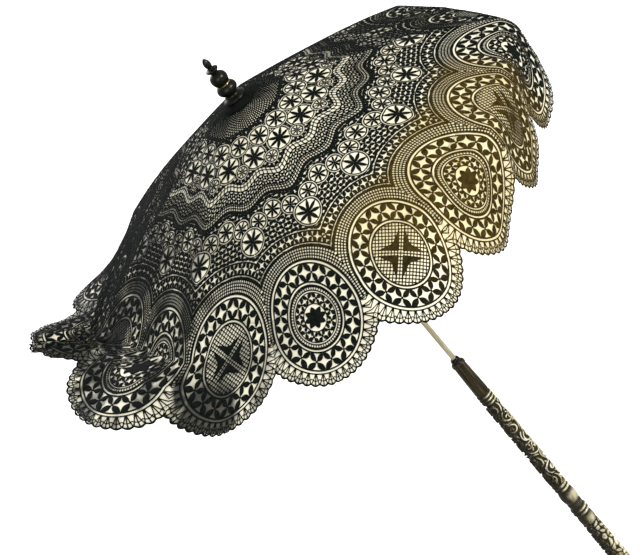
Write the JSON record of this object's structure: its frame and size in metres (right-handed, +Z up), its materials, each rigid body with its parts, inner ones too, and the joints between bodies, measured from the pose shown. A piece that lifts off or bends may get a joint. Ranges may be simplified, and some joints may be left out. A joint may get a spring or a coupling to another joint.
{
  "type": "lace parasol",
  "caption": "Folding lady's parasol with a scalloped lace cover over silk, a hinged rib and stretcher frame with a sliding runner, a turned finial and a carved handle",
  "frame": {"origin": "the middle of the hand grip, on the rod's axis", "axes": "+Z runs up the rod to the finial; rib 1 points to -Y; the flounce flares out towards -X"},
  "size_m": [0.5033, 0.4959, 0.7014],
  "materials": {
    "lace": "black silk bobbin lace over cream silk, faded to brown in places",
    "lining": "cream silk with a soft sheen",
    "finial": "ebonised turned wood, polished",
    "walnut": "dark walnut with lengthwise grain, oiled",
    "bone": "carved bone, stained dark in the hollows",
    "rod": "pale drawn brass, worn",
    "brass": "lacquered brass",
    "steel": "blackened spring steel"
  },
  "bodies": {
    "stick": {"crown": "brass", "crown_wire": "steel", "rod": "rod", "crown_cap": "lace", "finial_foot": "finial", "finial_ball": "finial", "finial_acorn": "finial", "rod_socket": "finial", "wood_collar": "walnut", "upper_rings": "bone", "scroll_grip": "bone", "middle_rings": "bone", "smooth_bulge": "bone", "lower_rings": "bone", "leaf_grip": "bone", "pommel": "bone"},
    "rib_arm_1": {"rib_1": "steel", "rivet_1": "brass", "cover_panel_1": "lace"},
    "rib_arm_2": {"rib_2": "steel", "rivet_2": "brass", "cover_panel_2": "lace"},
    "rib_arm_3": {"rib_3": "steel", "rivet_3": "brass", "cover_panel_3": "lace"},
    "rib_arm_4": {"rib_4": "steel", "rivet_4": "brass", "cover_panel_4": "lace"},
    "rib_arm_5": {"rib_5": "steel", "rivet_5": "brass", "cover_panel_5": "lace"},
    "rib_arm_6": {"rib_6": "steel", "rivet_6": "brass", "cover_panel_6": "lace"},
    "rib_arm_7": {"rib_7": "steel", "rivet_7": "brass", "cover_panel_7": "lace"},
    "rib_arm_8": {"rib_8": "steel", "rivet_8": "brass", "cover_panel_8": "lace"},
    "stretcher_arm_1": {"stretcher_1": "steel"},
    "stretcher_arm_2": {"stretcher_2": "steel"},
    "stretcher_arm_3": {"stretcher_3": "steel"},
    "stretcher_arm_4": {"stretcher_4": "steel"},
    "stretcher_arm_5": {"stretcher_5": "steel"},
    "stretcher_arm_6": {"stretcher_6": "steel"},
    "stretcher_arm_7": {"stretcher_7": "steel"},
    "stretcher_arm_8": {"stretcher_8": "steel"},
    "flounce_fall_1": {"flounce_1": "lace"},
    "flounce_fall_2": {"flounce_2": "lace"},
    "flounce_fall_3": {"flounce_3": "lace"},
    "flounce_fall_4": {"flounce_4": "lace"},
    "flounce_fall_5": {"flounce_5": "lace"},
    "flounce_fall_6": {"flounce_6": "lace"},
    "flounce_fall_7": {"flounce_7": "lace"},
    "flounce_fall_8": {"flounce_8": "lace"},
    "runner_slider": {"runner": "brass"},
    "top_catch_spring": {"top_catch": "steel"},
    "bottom_catch_spring": {"bottom_catch": "steel"}
  },
  "joints": [
    {"name": "canopy_fold", "type": "hinge", "parent": "stick", "child": "rib_arm_1", "pos_m": [0, -0.006, 0.4939], "axis": [1, 0, 0], "range_deg": [0, 58], "deforming": ["cover_panel_1"]},
    {"name": "rib_fold_2", "type": "hinge", "parent": "stick", "child": "rib_arm_2", "pos_m": [0.00424, -0.00424, 0.4939], "axis": [0.7071, 0.7071, 0], "range_deg": [0, 58], "deforming": ["cover_panel_2"]},
    {"name": "rib_fold_3", "type": "hinge", "parent": "stick", "child": "rib_arm_3", "pos_m": [0.006, 0, 0.4939], "axis": [0, 1, 0], "range_deg": [0, 58], "deforming": ["cover_panel_3"]},
    {"name": "rib_fold_4", "type": "hinge", "parent": "stick", "child": "rib_arm_4", "pos_m": [0.00424, 0.00424, 0.4939], "axis": [-0.7071, 0.7071, 0], "range_deg": [0, 58], "deforming": ["cover_panel_4"]},
    {"name": "rib_fold_5", "type": "hinge", "parent": "stick", "child": "rib_arm_5", "pos_m": [0, 0.006, 0.4939], "axis": [-1, 0, 0], "range_deg": [0, 58], "deforming": ["cover_panel_5"]},
    {"name": "rib_fold_6", "type": "hinge", "parent": "stick", "child": "rib_arm_6", "pos_m": [-0.00424, 0.00424, 0.4939], "axis": [-0.7071, -0.7071, 0], "range_deg": [0, 58], "deforming": ["cover_panel_6"]},
    {"name": "rib_fold_7", "type": "hinge", "parent": "stick", "child": "rib_arm_7", "pos_m": [-0.006, 0, 0.4939], "axis": [0, -1, 0], "range_deg": [0, 58], "deforming": ["cover_panel_7"]},
    {"name": "rib_fold_8", "type": "hinge", "parent": "stick", "child": "rib_arm_8", "pos_m": [-0.00424, -0.00424, 0.4939], "axis": [0.7071, -0.7071, 0], "range_deg": [0, 58], "deforming": ["cover_panel_8"]},
    {"name": "stretcher_swing_1", "type": "hinge", "parent": "rib_arm_1", "child": "stretcher_arm_1", "pos_m": [0, -0.104, 0.45966], "axis": [1, 0, 0], "range_deg": [-116, 0]},
    {"name": "stretcher_swing_2", "type": "hinge", "parent": "rib_arm_2", "child": "stretcher_arm_2", "pos_m": [0.07354, -0.07354, 0.45966], "axis": [0.7071, 0.7071, 0], "range_deg": [-116, 0]},
    {"name": "stretcher_swing_3", "type": "hinge", "parent": "rib_arm_3", "child": "stretcher_arm_3", "pos_m": [0.104, 0, 0.45966], "axis": [0, 1, 0], "range_deg": [-116, 0]},
    {"name": "stretcher_swing_4", "type": "hinge", "parent": "rib_arm_4", "child": "stretcher_arm_4", "pos_m": [0.07354, 0.07354, 0.45966], "axis": [-0.7071, 0.7071, 0], "range_deg": [-116, 0]},
    {"name": "stretcher_swing_5", "type": "hinge", "parent": "rib_arm_5", "child": "stretcher_arm_5", "pos_m": [0, 0.104, 0.45966], "axis": [-1, 0, 0], "range_deg": [-116, 0]},
    {"name": "stretcher_swing_6", "type": "hinge", "parent": "rib_arm_6", "child": "stretcher_arm_6", "pos_m": [-0.07354, 0.07354, 0.45966], "axis": [-0.7071, -0.7071, 0], "range_deg": [-116, 0]},
    {"name": "stretcher_swing_7", "type": "hinge", "parent": "rib_arm_7", "child": "stretcher_arm_7", "pos_m": [-0.104, 0, 0.45966], "axis": [0, -1, 0], "range_deg": [-116, 0]},
    {"name": "stretcher_swing_8", "type": "hinge", "parent": "rib_arm_8", "child": "stretcher_arm_8", "pos_m": [-0.07354, -0.07354, 0.45966], "axis": [0.7071, -0.7071, 0], "range_deg": [-116, 0]},
    {"name": "flounce_hang_1", "type": "hinge", "parent": "rib_arm_1", "child": "flounce_fall_1", "pos_m": [0, -0.1956, 0.4132], "axis": [1, 0, 0], "range_deg": [0, 3.4], "deforming": ["flounce_1"]},
    {"name": "flounce_hang_2", "type": "hinge", "parent": "rib_arm_2", "child": "flounce_fall_2", "pos_m": [0.13831, -0.13831, 0.4132], "axis": [0.7071, 0.7071, 0], "range_deg": [-47.6, 0], "deforming": ["flounce_2"]},
    {"name": "flounce_hang_3", "type": "hinge", "parent": "rib_arm_3", "child": "flounce_fall_3", "pos_m": [0.1956, 0, 0.4132], "axis": [0, 1, 0], "range_deg": [-48, 0], "deforming": ["flounce_3"]},
    {"name": "flounce_hang_4", "type": "hinge", "parent": "rib_arm_4", "child": "flounce_fall_4", "pos_m": [0.13831, 0.13831, 0.4132], "axis": [-0.7071, 0.7071, 0], "range_deg": [-48, 0], "deforming": ["flounce_4"]},
    {"name": "flounce_hang_5", "type": "hinge", "parent": "rib_arm_5", "child": "flounce_fall_5", "pos_m": [0, 0.1956, 0.4132], "axis": [-1, 0, 0], "range_deg": [-47.9, 0], "deforming": ["flounce_5"]},
    {"name": "flounce_hang_6", "type": "hinge", "parent": "rib_arm_6", "child": "flounce_fall_6", "pos_m": [-0.13831, 0.13831, 0.4132], "axis": [-0.7071, -0.7071, 0], "range_deg": [-14.8, 0], "deforming": ["flounce_6"]},
    {"name": "flounce_hang_7", "type": "hinge", "parent": "rib_arm_7", "child": "flounce_fall_7", "pos_m": [-0.1956, 0, 0.4132], "axis": [0, -1, 0], "range_deg": [0, 34], "deforming": ["flounce_7"]},
    {"name": "flounce_hang_8", "type": "hinge", "parent": "rib_arm_8", "child": "flounce_fall_8", "pos_m": [-0.13831, -0.13831, 0.4132], "axis": [0.7071, -0.7071, 0], "range_deg": [0, 10], "deforming": ["flounce_8"]},
    {"name": "runner_slide", "type": "slide", "parent": "stick", "child": "runner_slider", "axis": [0, 0, 1], "range_m": [-0.13423, 0]},
    {"name": "top_catch_press", "type": "slide", "parent": "stick", "child": "top_catch_spring", "axis": [0.9239, 0.3827, 0], "range_m": [-0.0015, 0], "stiffness_N_per_m": 120, "springref_m": 0.0005},
    {"name": "bottom_catch_press", "type": "slide", "parent": "stick", "child": "bottom_catch_spring", "axis": [0.9239, 0.3827, 0], "range_m": [-0.0015, 0], "stiffness_N_per_m": 120, "springref_m": 0.0005}
  ],
  "couplings": [
    {"joint": "rib_fold_2", "follows": "canopy_fold", "ratio": 1},
    {"joint": "rib_fold_3", "follows": "canopy_fold", "ratio": 1},
    {"joint": "rib_fold_4", "follows": "canopy_fold", "ratio": 1},
    {"joint": "rib_fold_5", "follows": "canopy_fold", "ratio": 1},
    {"joint": "rib_fold_6", "follows": "canopy_fold", "ratio": 1},
    {"joint": "rib_fold_7", "follows": "canopy_fold", "ratio": 1},
    {"joint": "rib_fold_8", "follows": "canopy_fold", "ratio": 1},
    {"joint": "stretcher_swing_1", "follows": "canopy_fold", "ratio": -2},
    {"joint": "stretcher_swing_2", "follows": "canopy_fold", "ratio": -2},
    {"joint": "stretcher_swing_3", "follows": "canopy_fold", "ratio": -2},
    {"joint": "stretcher_swing_4", "follows": "canopy_fold", "ratio": -2},
    {"joint": "stretcher_swing_5", "follows": "canopy_fold", "ratio": -2},
    {"joint": "stretcher_swing_6", "follows": "canopy_fold", "ratio": -2},
    {"joint": "stretcher_swing_7", "follows": "canopy_fold", "ratio": -2},
    {"joint": "stretcher_swing_8", "follows": "canopy_fold", "ratio": -2},
    {"joint": "flounce_hang_1", "follows": "canopy_fold", "ratio": 0.058615},
    {"joint": "flounce_hang_2", "follows": "canopy_fold", "ratio": -0.82061},
    {"joint": "flounce_hang_3", "follows": "canopy_fold", "ratio": -0.8275},
    {"joint": "flounce_hang_4", "follows": "canopy_fold", "ratio": -0.8275},
    {"joint": "flounce_hang_5", "follows": "canopy_fold", "ratio": -0.82578},
    {"joint": "flounce_hang_6", "follows": "canopy_fold", "ratio": -0.25515},
    {"joint": "flounce_hang_7", "follows": "canopy_fold", "ratio": 0.58615},
    {"joint": "flounce_hang_8", "follows": "canopy_fold", "ratio": 0.1724},
    {"joint": "runner_slide", "follows": "canopy_fold", "m_per_rad": -0.1324}
  ]
}
